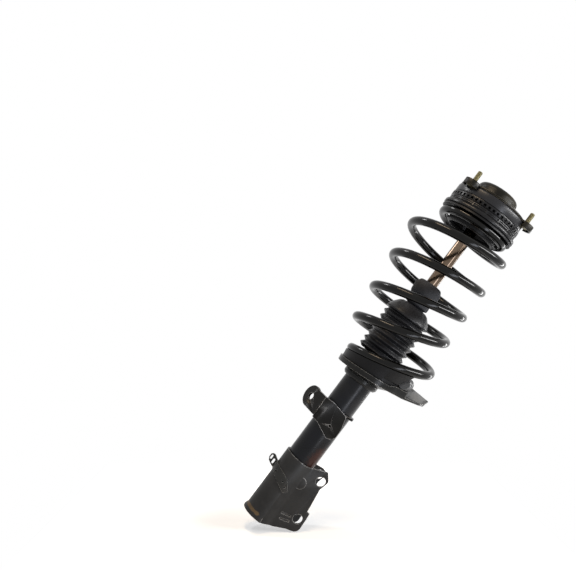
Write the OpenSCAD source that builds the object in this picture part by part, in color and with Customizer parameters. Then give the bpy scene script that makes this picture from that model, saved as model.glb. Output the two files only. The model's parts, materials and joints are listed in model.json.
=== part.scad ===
// Front suspension strut: telescopic damper, side-load coil spring, spring
// seats, steering bearing and top mount, ready to bolt in as one unit.
//
// Frame: the origin is the centre of the three tower studs, on the face that
// meets the body. +Z runs up along the piston rod, +X points to the knuckle.
// Pieces of the lower half are placed up from the foot of the knuckle bracket,
// pieces of the upper half down from the tower face. Millimetres and degrees.

/* [Overall] */
// Tower face to the foot of the knuckle bracket, at full droop
tower_drop = 648; // [620:1:680]
// Distance that parts of different moving groups keep from each other
run_gap = 0.3; // [0.2:0.05:0.5]

/* [Damper tube] */
// Outside diameter of the strut tube
tube_d = 51; // [48:0.5:54]
// Wall of the strut tube
tube_wall = 2.5; // [2:0.1:3.5]
// Length of the strut tube
tube_len = 404; // [390:1:415]
// Height of the tube's lower end above the foot of the bracket
tube_foot = 4; // [2:0.5:10]
// Wall of the cap that closes the top of the tube
cap_wall = 2; // [1.5:0.1:3]

/* [Rod and piston] */
// Diameter of the piston rod
rod_d = 20; // [18:0.5:22]
// Diameter of the rod's threaded end
rod_thread_d = 12; // [10:0.5:14]
// Outside diameter of the inner pressure tube
pressure_d = 35; // [33:0.5:37]
// Wall of the inner pressure tube
pressure_wall = 1.5; // [1:0.1:2]
// Height of the piston
piston_h = 22; // [18:1:28]
// Height of the sintered rod guide
guide_h = 26; // [22:1:32]

/* [Spring] */
// Diameter of the spring wire
wire_d = 14.5; // [12:0.5:15]
// Mean radius of the lowest, seated coil
coil_low_r = 51; // [49:0.5:53]
// Mean radius of the working coils at their widest, near the top
coil_mid_r = 80; // [75:0.5:82]
// Mean radius of the seated top coil
coil_top_r = 54; // [53:0.5:56]
// Sideways shift of the seated bottom coil, towards the knuckle
seat_shift = 8; // [4:0.5:10]
// Largest sideways shift of the coils, just above the bottom coil
bow_shift = 20; // [12:0.5:22]
// Turns from one cut end of the wire to the other
coil_turns = 6.3; // [6:0.1:6.3]
// Direction of the wire's lower cut end, counted from +X
coil_end_angle = -41; // [-60:1:-20]

/* [Lower seat] */
// Height of the seat face above the foot of the bracket, at the tube axis
seat_height = 309; // [300:1:316]
// Slope of the seat, higher on the knuckle side
seat_tilt = 5; // [3:0.5:7]
// Radius of the round part of the seat
seat_r = 60; // [58:0.5:63]
// Reach of the seat's tongue from the tube axis
tongue_reach = 113; // [105:1:118]
// Thickness of the seat's sheet
seat_sheet = 3; // [2.5:0.1:3.5]
// Depth of the tray from the seat face to its underside
tray_drop = 14; // [12:0.5:16]
// Thickness of the rubber pads between the spring and its seats
pad_t = 3; // [2:0.5:4]

/* [Knuckle bracket] */
// Thickness of the bracket's sheet
bracket_sheet = 4; // [3:0.25:4.5]
// Clear width between the two ears, where the knuckle goes
ear_gap = 36; // [32:0.5:38]
// Radius of the two knuckle bolt holes
knuckle_hole_r = 8.25; // [7:0.25:8.5]
// Distance of the upper bolt hole from the tube axis
upper_hole_x = 44.5; // [43:0.5:47]
// Height of the upper bolt hole above the foot
upper_hole_h = 111; // [108:0.5:113]
// Distance of the lower bolt hole from the tube axis
lower_hole_x = 50.5; // [48:0.5:51.5]
// Height of the lower bolt hole above the foot
lower_hole_h = 39; // [36:0.5:42]

/* [Stabiliser bracket] */
// Height of the link hole above the foot
link_hole_h = 213; // [205:1:220]
// Radius of the link hole
link_hole_r = 6; // [5:0.25:7]
// Direction that the stabiliser bracket faces, from the knuckle bracket's side
link_yaw = -12; // [-20:1:0]
// Thickness of the stabiliser bracket's sheet
link_sheet = 4; // [3:0.25:4.5]

/* [Hose bracket] */
// Height of the hose bracket's band above the foot
hose_band_h = 74; // [68:1:80]
// Width of the band
hose_band_w = 13; // [10:0.5:16]

/* [Bump stop and boot] */
// Length of the foam bump stop
bump_len = 70; // [60:1:74]
// Largest diameter of the bump stop
bump_d = 49; // [44:0.5:52]
// Largest diameter of the boot's folds
boot_d = 79; // [76:0.5:82]
// Number of folds in the boot
boot_folds = 7; // [5:1:7]
// Height of the boot's lower end above the lower spring seat
boot_clear = 22; // [20:0.5:30]

/* [Top mount] */
// Diameter of the circle through the three tower studs
stud_circle_d = 128; // [122:1:132]
// Diameter of the tower studs
stud_d = 8; // [7:0.5:9]
// Height of the studs above the tower face
stud_reach = 19; // [15:1:25]
// Direction of the first stud, counted from +X
stud_angle = -25; // [-40:1:0]
// Thickness of the mount plate's sheet
plate_t = 3; // [2.5:0.1:4]
// Radius of the mount plate between its lobes
plate_r = 60.5; // [57:0.5:62]
// Radius of the dome that holds the rubber mount
dome_r = 36; // [35:0.5:38]
// Height of the dome above the tower face
dome_h = 21; // [19:0.5:24]

/* [Bearing and upper seat] */
// Outside radius of the bearing cover
cover_r = 62; // [60.5:0.25:62.5]
// Height of the bearing cover
cover_h = 15; // [14:0.5:18]
// Outside radius of the upper spring seat
housing_r = 63; // [62.5:0.25:65]
// Height of the upper spring seat below the running gap
housing_h = 22; // [20:0.5:26]
// Number of square openings round the upper seat
window_count = 48; // [36:1:56]
// Radius of the circle that the bearing balls run on
ball_circle_r = 48; // [47:0.25:48.5]
// Diameter of the bearing balls
ball_d = 6; // [5:0.25:6.5]
// Number of bearing balls
ball_count = 30; // [20:1:36]

/* [Hidden] */
$fn = 96;
eps = 0.01;
soft_fn = 40;

// Radii of the damper, from the tube inwards
tube_r = tube_d / 2;
bore_r = tube_r - tube_wall;
rod_r = rod_d / 2;
thread_r = rod_thread_d / 2;
pressure_r = pressure_d / 2;
pressure_bore_r = pressure_r - pressure_wall;
slide_clear = 0.05;

// Heights in the lower half
function up(h) = h - tower_drop;
tube_base_z = up(tube_foot);
tube_top_z = up(tube_foot + tube_len);
cap_top_z = tube_top_z + cap_wall;
bump_base_z = cap_top_z + run_gap;

// Heights in the top mount, down from the tower face
cover_top_z = -plate_t;
cover_foot_z = cover_top_z - cover_h;
cover_sheet = 3;
race_h = 4.5;
race_half_w = 5;
groove_r = ball_d / 2 + run_gap;
ball_z = cover_top_z - cover_sheet - race_h;
race_face = 1.6;
lower_race_foot_z = ball_z - race_h;
cover_gap = 1.2;
housing_top_z = cover_foot_z - cover_gap;
housing_foot_z = housing_top_z - housing_h;
core_foot_z = -17.5;
core_top_z = 5;
washer_t = 3;
nut_h = 10;
cup_sheet = 2.5;
shoulder_z = core_foot_z - cup_sheet;
rod_end_z = core_top_z + washer_t + nut_h + 2;

// Heights of the piston, hung just under the rod guide at full droop
guide_foot_z = tube_top_z - guide_h - 6;
stop_h = 9;
stop_top_z = guide_foot_z - 1;
piston_top_z = stop_top_z - stop_h - 2;
piston_foot_z = piston_top_z - piston_h;
disc_t = 1.2;
piston_nut_h = 8;
rod_foot_z = piston_foot_z - disc_t - piston_nut_h - 2;
foot_valve_h = 14;
base_t = 4;
foot_valve_z = tube_base_z + base_t;

// Seats of the spring
coil_r = wire_d / 2;
top_coil_z = housing_foot_z - pad_t - coil_r;
low_coil_rise = pad_t + run_gap + coil_r;

// Where each point round a circle lies
function around(r, a) = [r * cos(a), r * sin(a)];
function arc(c, r, a0, a1, n = 8) = [for (i = [0 : n]) c + around(r, a0 + (a1 - a0) * i / n)];

// A plain ring between two heights
module ring(r_out, r_in, z0, z1) {
    translate([0, 0, z0])
        difference() {
            cylinder(r = r_out, h = z1 - z0);
            translate([0, 0, -1]) cylinder(r = r_in, h = z1 - z0 + 2);
        }
}

// The three places of the tower studs
module at_studs() {
    for (i = [0 : 2])
        rotate([0, 0, stud_angle + 120 * i]) translate([stud_circle_d / 2, 0, 0]) children();
}

// ---------------------------------------------------------------- top mount
lobe_r = 14;
lobe_wall_h = 10;
dome_lip_r = 19;
dome_round = 9;

module plate_outline(r, lobe, neck) {
    circle(r = r);
    at_studs() circle(r = lobe);
    for (i = [0 : 2])
        rotate([0, 0, stud_angle + 120 * i])
            translate([0, -neck]) square([stud_circle_d / 2, 2 * neck]);
}

module mount_plate() color([0.13, 0.13, 0.12]) {
    difference() {
        union() {
            translate([0, 0, -plate_t]) linear_extrude(plate_t) plate_outline(plate_r, lobe_r, lobe_r);
            translate([0, 0, -lobe_wall_h])
                linear_extrude(lobe_wall_h)
                    difference() {
                        plate_outline(plate_r, lobe_r, lobe_r);
                        plate_outline(plate_r + 4, lobe_r - plate_t, lobe_r - plate_t);
                    }
        }
        translate([0, 0, -plate_t - 1]) cylinder(r = dome_r - plate_t, h = plate_t + 2);
        at_studs() translate([0, 0, -plate_t - 1]) cylinder(r = spline_r, h = plate_t + 2);
    }
    rotate_extrude()
        polygon(concat(
            [[dome_r, -plate_t], [dome_r, dome_h - dome_round]],
            arc([dome_r - dome_round, dome_h - dome_round], dome_round, 10, 90),
            [[dome_lip_r, dome_h], [dome_lip_r, dome_h - plate_t]],
            arc([dome_r - dome_round, dome_h - dome_round], dome_round - plate_t, 90, 0),
            [[dome_r - plate_t, -plate_t]]
        ));
}

head_h = 5.5;
spline_r = stud_d / 2 + 0.4;
module tower_studs() color([0.62, 0.55, 0.25])
    at_studs() {
        translate([0, 0, -plate_t]) cylinder(r = spline_r, h = plate_t);
        cylinder(r = stud_d / 2, h = stud_reach - 1);
        translate([0, 0, stud_reach - 1]) cylinder(r1 = stud_d / 2, r2 = stud_d / 2 - 1, h = 1);
        translate([0, 0, -plate_t - head_h]) cylinder(r = stud_d, h = head_h, $fn = 6);
    }

retainer_sheet = 2.5;
retainer_r = dome_r - plate_t + retainer_sheet;
retainer_foot_z = core_foot_z + 1;
module mount_retainer() color([0.2, 0.2, 0.2])
    rotate_extrude()
        polygon([
            [22, retainer_foot_z], [retainer_r, retainer_foot_z],
            [retainer_r, -plate_t - retainer_sheet], [retainer_r + 3, -plate_t - retainer_sheet],
            [retainer_r + 3, -plate_t], [dome_r - plate_t, -plate_t],
            [dome_r - plate_t, retainer_foot_z + retainer_sheet], [22, retainer_foot_z + retainer_sheet]
        ]);

core_r = 11;
rubber_foot_z = retainer_foot_z + retainer_sheet;
module mount_rubber() color([0.07, 0.07, 0.07])
    rotate_extrude()
        polygon([
            [core_r, rubber_foot_z + 2], [24, rubber_foot_z], [dome_r - plate_t, rubber_foot_z],
            [dome_r - plate_t, dome_h - dome_round],
            [dome_r - dome_round, dome_h - plate_t], [dome_lip_r + 3, dome_h - plate_t],
            [dome_lip_r, 7], [16, 3], [core_r, core_top_z - 2]
        ]);

module mount_core() color([0.6, 0.6, 0.6]) ring(core_r, thread_r, core_foot_z, core_top_z);

module rebound_washer() color([0.55, 0.55, 0.5]) ring(17, thread_r, core_top_z, core_top_z + washer_t);

module rod_nut() color([0.66, 0.6, 0.4]) {
    translate([0, 0, core_top_z + washer_t])
        difference() {
            union() {
                cylinder(r = thread_r * 2, h = nut_h, $fn = 6);
                cylinder(r = thread_r * 2 + 1.5, h = 2);
            }
            translate([0, 0, -1]) cylinder(r = thread_r, h = nut_h + 2);
        }
}

cup_r = 30;
cup_foot_z = core_foot_z - 12;
module bump_cup() color([0.25, 0.25, 0.25])
    rotate_extrude()
        polygon([
            [thread_r, shoulder_z], [cup_r - cup_sheet, shoulder_z],
            [cup_r - cup_sheet + 1, cup_foot_z], [cup_r + 1, cup_foot_z],
            [cup_r, core_foot_z], [thread_r, core_foot_z]
        ]);

// ---------------------------------------------------------------- bearing
cover_bore_r = retainer_r + 3.5;
cover_round = 4;
cover_skirt = 2.5;
cover_lip = 1.5;
module bearing_cover() color([0.19, 0.19, 0.19])
    difference() {
        rotate_extrude()
            polygon(concat(
                [[cover_bore_r, cover_top_z], [cover_r - cover_round, cover_top_z]],
                arc([cover_r - cover_round, cover_top_z - cover_round], cover_round, 80, 0, 5),
                [
                    [cover_r, cover_foot_z], [cover_r - cover_skirt, cover_foot_z],
                    [cover_r - cover_skirt, cover_top_z - cover_sheet - cover_lip],
                    [cover_r - cover_round, cover_top_z - cover_sheet],
                    [cover_bore_r + cover_lip, cover_top_z - cover_sheet], [cover_bore_r + cover_lip, ball_z],
                    [cover_bore_r, ball_z]
                ]
            ));
        // pockets in the rim that clear the heads of the studs
        at_studs() translate([0, 0, cover_top_z - head_h - 1]) cylinder(r = stud_d + 1, h = head_h + 5);
    }

module race(z_back, z_front) {
    low = min(z_back, z_front);
    difference() {
        ring(ball_circle_r + race_half_w, ball_circle_r - race_half_w, low, max(z_back, z_front));
        rotate_extrude() translate([ball_circle_r, ball_z]) circle(r = groove_r, $fn = soft_fn);
    }
}

module bearing_upper_race() color([0.7, 0.7, 0.72]) race(ball_z + race_h, ball_z + race_face);

module bearing_lower_race() color([0.7, 0.7, 0.72]) race(ball_z - race_h, ball_z - race_face);

cage_half_h = 1;
cage_half_w = ball_d / 2 + 1;
module bearing_cage() color([0.75, 0.72, 0.62])
    difference() {
        ring(
            ball_circle_r + cage_half_w, ball_circle_r - cage_half_w,
            ball_z - cage_half_h, ball_z + cage_half_h
        );
        for (i = [0 : ball_count - 1])
            rotate([0, 0, 360 * i / ball_count])
                translate([ball_circle_r, 0, ball_z - 5])
                    cylinder(r = ball_d / 2 + 0.1, h = 10, $fn = soft_fn);
    }

module bearing_balls() color([0.8, 0.8, 0.82])
    for (i = [0 : ball_count - 1])
        rotate([0, 0, 360 * i / ball_count])
            translate([ball_circle_r, 0, ball_z]) sphere(r = ball_d / 2, $fn = soft_fn);

// ---------------------------------------------------------------- upper seat
channel_out_r = housing_r - 2.2;
channel_in_r = cover_r - 4;
window_w = 4.6;
window_h = 4;
window_z = housing_top_z - 2.6;
hub_r = coil_top_r - coil_r - 5;
hub_bore_r = hub_r - 3;
hub_drop = 15;
rib_h = 1.6;
foot_r = housing_r + 3;
module upper_spring_seat() color([0.12, 0.12, 0.12]) {
    seat_bore_r = retainer_r + 1;
    difference() {
        rotate_extrude()
            polygon([
                [seat_bore_r + 1, lower_race_foot_z], [channel_in_r - 1, lower_race_foot_z],
                [channel_in_r, housing_top_z], [channel_in_r, housing_top_z - 8],
                [channel_out_r, housing_top_z - 8], [channel_out_r, housing_top_z],
                [housing_r, housing_top_z], [housing_r, housing_top_z - 7],
                [housing_r - 2, housing_top_z - 8.5], [housing_r - 1.5, housing_foot_z + 8],
                [foot_r - 0.5, housing_foot_z + 5], [foot_r, housing_foot_z + 4], [foot_r, housing_foot_z],
                [hub_r, housing_foot_z], [hub_r, housing_foot_z - hub_drop],
                [hub_bore_r, housing_foot_z - hub_drop], [hub_bore_r, housing_foot_z + 4],
                [seat_bore_r + 1, housing_foot_z + 8]
            ]);
        for (i = [0 : window_count - 1])
            rotate([0, 0, 360 * (i + 0.5) / window_count])
                translate([channel_out_r - 1, -window_w / 2, window_z - window_h])
                    cube([housing_r - channel_out_r + 2, window_w, window_h]);
    }
    for (z = [housing_top_z - 10.2, housing_foot_z + 9])
        ring(housing_r - 0.8, housing_r - 3, z - rib_h / 2, z + rib_h / 2);
    for (i = [0 : 15])
        rotate([0, 0, 22.5 * i + 11])
            translate([housing_r - 3, -1, housing_foot_z + 7]) cube([2.4, 2, housing_h - 16]);
}

module upper_spring_pad() color([0.06, 0.06, 0.06])
    rotate_extrude()
        polygon([
            [hub_r, housing_foot_z], [foot_r - 2, housing_foot_z],
            [foot_r - 0.5, housing_foot_z - pad_t - 2], [foot_r - 2, housing_foot_z - pad_t - 2],
            [coil_top_r + 4, housing_foot_z - pad_t], [coil_top_r - 4, housing_foot_z - pad_t],
            [hub_r + 3.5, housing_foot_z - pad_t - 3], [hub_r + 3.5, housing_foot_z - 21],
            [hub_r - 2, housing_foot_z - 23], [hub_r - 3, housing_foot_z - hub_drop],
            [hub_r, housing_foot_z - hub_drop]
        ]);

// ---------------------------------------------------------------- coil spring
// The wire leaves the sloped bottom seat, bows towards the knuckle, widens
// and ends in a small flat coil under the upper seat.
low_coil_z = up(seat_height) + low_coil_rise;
ramp_in = [0.4, 0.8];
ramp_out = [5.15, 5.85];
// Area under a ramp that climbs from 0 to 1 between t0 and t1
function ramp_area(t, t0, t1) =
    t <= t0 ? 0 : t >= t1 ? (t - t0) - (t1 - t0) / 2 : pow(t - t0, 2) / (2 * (t1 - t0));
function wound(t) = ramp_area(t, ramp_in[0], ramp_in[1]) - ramp_area(t, ramp_out[0], ramp_out[1]);
coil_pitch = (top_coil_z - low_coil_z) / wound(coil_turns);
seat_slope = tan(seat_tilt);
function coil_radius(t) = lookup(t, [
    [0, coil_low_r + 11], [0.1, coil_low_r + 5], [0.25, coil_low_r], [0.5, coil_low_r],
    [1, coil_mid_r - 14], [1.6, coil_mid_r - 6],
    [2.1, coil_mid_r - 8], [2.6, coil_mid_r - 4], [3.1, coil_mid_r - 6], [3.6, coil_mid_r - 3],
    [4.1, coil_mid_r - 2], [4.6, coil_mid_r], [5.1, coil_mid_r - 4],
    [5.6, coil_top_r + 1], [5.85, coil_top_r], [7, coil_top_r]
]);
function coil_shift(t) = lookup(t, [
    [0, seat_shift], [0.5, seat_shift], [1.1, bow_shift], [1.6, bow_shift / 4],
    [3.1, -2], [4.1, -6], [4.8, -7], [5.6, 0], [7, 0]
]);
function coil_slope(t) = lookup(t, [
    [0, seat_slope], [0.6, seat_slope], [1.2, 2 * seat_slope], [1.6, 1.7 * seat_slope],
    [2.1, 2.2 * seat_slope], [2.6, 1.4 * seat_slope], [3.1, seat_slope], [4, 0], [7, 0]
]);
function coil_point(t) =
    let (a = coil_end_angle + 360 * t, x = coil_shift(t) + coil_radius(t) * cos(a))
    [x, coil_radius(t) * sin(a), low_coil_z + coil_pitch * wound(t) + coil_slope(t) * x];

// A closed skin over sections that have the same number of points
module swept_skin(sections) {
    n = len(sections);
    sides = len(sections[0]);
    skin = [for (i = [0 : n - 2], j = [0 : sides - 1])
        let (k = (j + 1) % sides)
        [(i + 1) * sides + j, (i + 1) * sides + k, i * sides + k, i * sides + j]];
    foot = [for (j = [0 : sides - 1]) j];
    head = [for (j = [sides - 1 : -1 : 0]) (n - 1) * sides + j];
    points = [for (section = sections) each section];
    polyhedron(points, faces = concat(skin, [foot, head]), convexity = 10);
}

// A round bar swept along the points of a path
function unit(v) = v / norm(v);
module swept_bar(path, r, sides) {
    n = len(path);
    function heading(i) = unit(path[min(i + 1, n - 1)] - path[max(i - 1, 0)]);
    swept_skin([for (i = [0 : n - 1])
        let (side = unit(cross([0, 0, 1], heading(i))), rise = cross(heading(i), side))
        [for (a = [0 : 360 / sides : 359]) path[i] + r * (side * cos(a) + rise * sin(a))]]);
}

coil_steps = 30;
module coil_spring() color([0.03, 0.03, 0.035])
    swept_bar([for (i = [0 : round(coil_turns * coil_steps)]) coil_point(i / coil_steps)], coil_r, 12);

// ---------------------------------------------------------------- rod and piston
module piston_rod() color([0.85, 0.85, 0.87]) {
    stub_z = piston_top_z;
    translate([0, 0, stub_z]) cylinder(r = rod_r, h = shoulder_z - stub_z);
    translate([0, 0, shoulder_z]) cylinder(r = thread_r, h = rod_end_z - shoulder_z);
    translate([0, 0, rod_foot_z]) cylinder(r = thread_r, h = stub_z - rod_foot_z);
}

module rebound_stop() color([0.1, 0.1, 0.1])
    ring(pressure_bore_r - 1.5, rod_r, stop_top_z - stop_h, stop_top_z);

piston_r = pressure_bore_r - 0.6;
ring_h = 6;
module piston() color([0.5, 0.5, 0.5])
    difference() {
        ring(piston_r, thread_r, piston_foot_z, piston_top_z);
        ring(piston_r + 1, piston_r - 1.5, (piston_foot_z + piston_top_z - ring_h) / 2,
            (piston_foot_z + piston_top_z + ring_h) / 2);
        for (i = [0 : 7])
            rotate([0, 0, 45 * i]) translate([(piston_r + thread_r) / 2, 0, piston_foot_z - 1])
                cylinder(r = 1.5, h = piston_h + 2, $fn = 24);
    }

module piston_ring() color([0.2, 0.35, 0.3])
    ring(pressure_bore_r - slide_clear, piston_r - 1.5,
        (piston_foot_z + piston_top_z - ring_h) / 2, (piston_foot_z + piston_top_z + ring_h) / 2);

module valve_discs() color([0.75, 0.75, 0.78]) {
    ring(piston_r - 2, thread_r, piston_foot_z - disc_t, piston_foot_z);
}

module piston_nut() color([0.6, 0.6, 0.6])
    difference() {
        translate([0, 0, piston_foot_z - disc_t - piston_nut_h])
            cylinder(r = min(thread_r * 1.75, pressure_bore_r - 3), h = piston_nut_h, $fn = 6);
        translate([0, 0, rod_foot_z - 1]) cylinder(r = thread_r, h = piston_nut_h + disc_t + 20);
    }

// ---------------------------------------------------------------- bump stop and boot
neck_h = 22;
neck_r = bump_d / 2 - 9;
head_round = 8;
module bump_stop() color([0.24, 0.24, 0.25]) {
    bump_r = bump_d / 2;
    bore = rod_r + run_gap;
    translate([0, 0, bump_base_z])
        rotate_extrude()
            polygon(concat(
                [[bore, 0], [bump_r - 7, 0], [bump_r - 6, neck_h - 12]],
                [[neck_r, neck_h - 6], [neck_r, neck_h + 2]],
                arc([bump_r - 7.5, neck_h + 8], 4.5, -90, 60, 5),
                [[bump_r - 4.5, neck_h + 17]],
                arc([bump_r - head_round, bump_len - head_round - 1.5], head_round, -50, 70, 7),
                [[bump_r - head_round, bump_len], [bore, bump_len]]
            ));
}

boot_sheet = 1.8;
bell_h = 20;
boot_top_h = bump_base_z + neck_h;
fold_depth = 6;
fold_edge = 0.18;
module dust_boot() color([0.09, 0.09, 0.09]) {
    rim = boot_d / 2;
    root = rim - fold_depth;
    rim_z = boot_top_h - bell_h;
    folds_z = rim_z - 4;
    foot_z = up(seat_height) + boot_clear;
    fold = (folds_z - foot_z) / boot_folds;
    // shoulder round the neck, then a bell that opens to the rim
    bell = [
        [neck_r, boot_top_h + 1.5], [neck_r + 7, boot_top_h + 1.5], [rim - 12.5, boot_top_h - 1],
        [rim - 8, boot_top_h - 6], [rim - 4, boot_top_h - 11], [rim - 1, boot_top_h - 16],
        [rim + 0.5, rim_z + 1], [rim + 0.5, rim_z - 1]
    ];
    folds = [for (i = [0 : boot_folds - 1]) each [
        [root, folds_z - fold * i], [rim, folds_z - fold * (i + 0.5 - fold_edge / 2)],
        [rim, folds_z - fold * (i + 0.5 + fold_edge / 2)]]];
    outline = concat(bell, folds, [[root, foot_z]]);
    lining = [for (i = [len(outline) - 1 : -1 : 1])
        [outline[i][0] - boot_sheet, outline[i][1] - (i < len(bell) - 2 ? boot_sheet : 0)]];
    rotate_extrude() polygon(concat(outline, lining, [[neck_r, boot_top_h + 1.5 - boot_sheet]]));
}

// ---------------------------------------------------------------- damper body
module strut_tube() color([0.06, 0.06, 0.08]) ring(tube_r, bore_r, tube_base_z, tube_top_z);

module tube_base() color([0.1, 0.1, 0.1])
    translate([0, 0, tube_base_z])
        difference() {
            cylinder(r = bore_r, h = base_t);
            translate([0, 0, -1]) cylinder(r = bore_r - 8, h = 2.5);
        }

module striker_cap() color([0.55, 0.55, 0.52]) {
    ring(bore_r, rod_r + 1.5, tube_top_z, cap_top_z);
    ring(tube_r + cap_wall, bore_r, tube_top_z, cap_top_z);
    ring(tube_r + cap_wall, tube_r, tube_top_z - 9, tube_top_z);
}

bushing_t = 1.5;
module rod_guide() color([0.5, 0.48, 0.45]) {
    rotate_extrude()
        polygon([
            [rod_r + bushing_t, guide_foot_z], [pressure_bore_r, guide_foot_z],
            [pressure_bore_r, guide_foot_z + 8], [bore_r, guide_foot_z + 8],
            [bore_r, guide_foot_z + guide_h], [rod_r + bushing_t, guide_foot_z + guide_h]
        ]);
}

module guide_bushing() color([0.7, 0.5, 0.3])
    ring(rod_r + bushing_t, rod_r + slide_clear, guide_foot_z, guide_foot_z + guide_h);

module rod_seal() color([0.08, 0.08, 0.08])
    rotate_extrude()
        polygon([
            [rod_r + slide_clear, guide_foot_z + guide_h], [bore_r, guide_foot_z + guide_h],
            [bore_r, tube_top_z], [rod_r + 1.5, tube_top_z], [rod_r + slide_clear, tube_top_z - 2]
        ]);

module pressure_tube() color([0.6, 0.6, 0.62])
    ring(pressure_r, pressure_bore_r, foot_valve_z + 6, guide_foot_z + 8);

module foot_valve() color([0.5, 0.5, 0.45])
    difference() {
        union() {
            translate([0, 0, foot_valve_z]) cylinder(r = pressure_r, h = 6);
            translate([0, 0, foot_valve_z + 6]) cylinder(r = pressure_bore_r, h = foot_valve_h - 6);
        }
        for (i = [0 : 3])
            rotate([0, 0, 90 * i]) translate([pressure_bore_r / 2, 0, foot_valve_z - 1])
                cylinder(r = 2, h = foot_valve_h + 2, $fn = 24);
        for (i = [0 : 3])
            rotate([0, 0, 45 + 90 * i]) translate([0, -2.5, foot_valve_z - 1]) cube([pressure_r + 1, 5, 3]);
    }

// ---------------------------------------------------------------- lower seat
// Everything in this frame is square to the sloped face the spring pad lies on
module on_seat() {
    translate([0, 0, up(seat_height)]) rotate([0, -seat_tilt, 0]) children();
}

seat_hole_r = coil_low_r - 10;
collar_sheet = 3.5;
collar_r = tube_r + collar_sheet;
dish_drop = 20;
wall_top = 5;
wall_end_x = 60;
floor_z = seat_sheet - tray_drop;
tip_x = tongue_reach - seat_shift;
tongue_bend_x = 50;
tongue_far = [50, 33];
tongue_end = [tip_x - 5, -5];
rise_x = seat_r - seat_sheet;
function floor_rise(x) = max(0, x - rise_x) * tan(5.5);

// Plan of the tray: a round pan with a tongue that carries the end of the wire
module seat_outline(inset = 0) {
    circle(r = seat_r - inset);
    polygon([
        [10, 1.5 + 1.5 * inset - seat_r], [tongue_bend_x, 1.1 * inset - 40], [tip_x - 15, 1.2 * inset - 16],
        tongue_end - [inset, 0], tongue_far - [0, inset], [20, seat_r - 4 - inset]
    ]);
}

// Floor of the tray, which rises along the tongue
module tray_floor() {
    intersection() {
        translate([0, 0, -tray_drop])
            linear_extrude(tray_drop)
                difference() {
                    seat_outline();
                    circle(r = seat_hole_r);
                }
        rotate([90, 0, 0])
            linear_extrude(2 * seat_r, center = true)
                polygon([
                    [-seat_r - 1, -tray_drop], [rise_x, -tray_drop], [tip_x, floor_rise(tip_x) - tray_drop],
                    [tip_x, floor_rise(tip_x) + floor_z], [rise_x, floor_z], [-seat_r - 1, floor_z]
                ]);
    }
}

// Wall round the tray, low at the back and highest beside the end of the wire
module tray_wall() {
    intersection() {
        translate([0, 0, -tray_drop])
            linear_extrude(tray_drop + 10)
                difference() {
                    seat_outline();
                    seat_outline(seat_sheet);
                }
        rotate([90, 0, 0])
            linear_extrude(2 * seat_r, center = true)
                polygon([
                    [-seat_r - 1, -tray_drop], [rise_x, -tray_drop],
                    [wall_end_x, floor_rise(wall_end_x) - tray_drop], [wall_end_x, -1], [34, -1],
                    [22, -wall_top], [-seat_r - 1, -wall_top]
                ]);
    }
}

// Flange along the far edge of the tongue, leaning outward and tapering to the tip
module tongue_flange() {
    edge = tongue_end - tongue_far;
    length = norm(edge);
    rise = floor_rise(tongue_end[0]) - floor_rise(tongue_far[0]);
    lean = 40;
    translate([tongue_far[0], tongue_far[1], floor_z + floor_rise(tongue_far[0]) - seat_sheet / 2])
        rotate([0, -atan2(rise, length), atan2(edge[1], edge[0])])
            rotate([90 - lean, 0, 0]) translate([0, 0, -seat_sheet])
                linear_extrude(seat_sheet)
                    polygon([[-2, 0], [length, 0], [length + 2, 14], [0, 27], [-12, 26], [-16, 18], [-8, 8]]);
}

module lower_spring_seat() color([0.1, 0.1, 0.1])
    difference() {
        union() {
            on_seat()
                translate([seat_shift, 0, 0]) {
                    tray_floor();
                    tray_wall();
                    tongue_flange();
                }
            difference() {
                dish(0);
                dish(seat_sheet);
            }
        }
        translate([0, 0, up(seat_height - dish_drop - 20)]) cylinder(r = collar_r, h = 60);
    }

// Shallow cone from the collar up to the floor of the tray, as a solid plug
module dish(lift) {
    hull() {
        translate([0, 0, up(seat_height - dish_drop) + lift])
            cylinder(r = collar_r + seat_sheet, h = eps, $fn = soft_fn);
        on_seat() translate([seat_shift, 0, lift - tray_drop])
            cylinder(r = seat_hole_r + 5, h = eps, $fn = soft_fn);
    }
}

module seat_collar() color([0.14, 0.14, 0.14]) {
    neck_z = up(seat_height - dish_drop);
    rotate_extrude()
        polygon([
            [tube_r, neck_z - 10], [collar_r, neck_z - 10], [collar_r + seat_sheet, neck_z - 6],
            [collar_r + seat_sheet, neck_z], [collar_r, neck_z], [collar_r, neck_z + 8], [tube_r, neck_z + 8]
        ]);
}

// Where a point of the wire lies in the frame of the tray
function in_tray(p) =
    let (x = p[0], z = p[2] - up(seat_height))
    [x * cos(seat_tilt) + z * sin(seat_tilt) - seat_shift, p[1], z * cos(seat_tilt) - x * sin(seat_tilt)];

// Rubber that fills the tray under the wire and climbs with it as a ramp. Each
// section stands on the floor of the tray and cradles the wire's underside.
module lower_spring_pad() color([0.06, 0.06, 0.06])
    on_seat() translate([seat_shift, 0, 0]) {
        inner_r = seat_hole_r + 3;
        outer_r = seat_r - seat_sheet;
        rest = coil_r + run_gap;
        ramp_end = 0.95;
        steps = 32;
        swept_skin([for (i = [0 : steps])
            let (w = in_tray(coil_point(ramp_end * i / steps)), r = norm([w[0], w[1]]), top = w[2] - rest)
            let (a = atan2(w[1], w[0]))
            [for (p = [
                [inner_r, -3], [r - 5, top - 0.4], [r, top - 0.4], [r + 3.5, top], [r + 6.5, top + 1.8],
                [outer_r, 1], [outer_r, floor_z], [inner_r, floor_z]
            ]) [p[0] * cos(a), p[0] * sin(a), p[1]]]]);
    }

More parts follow.
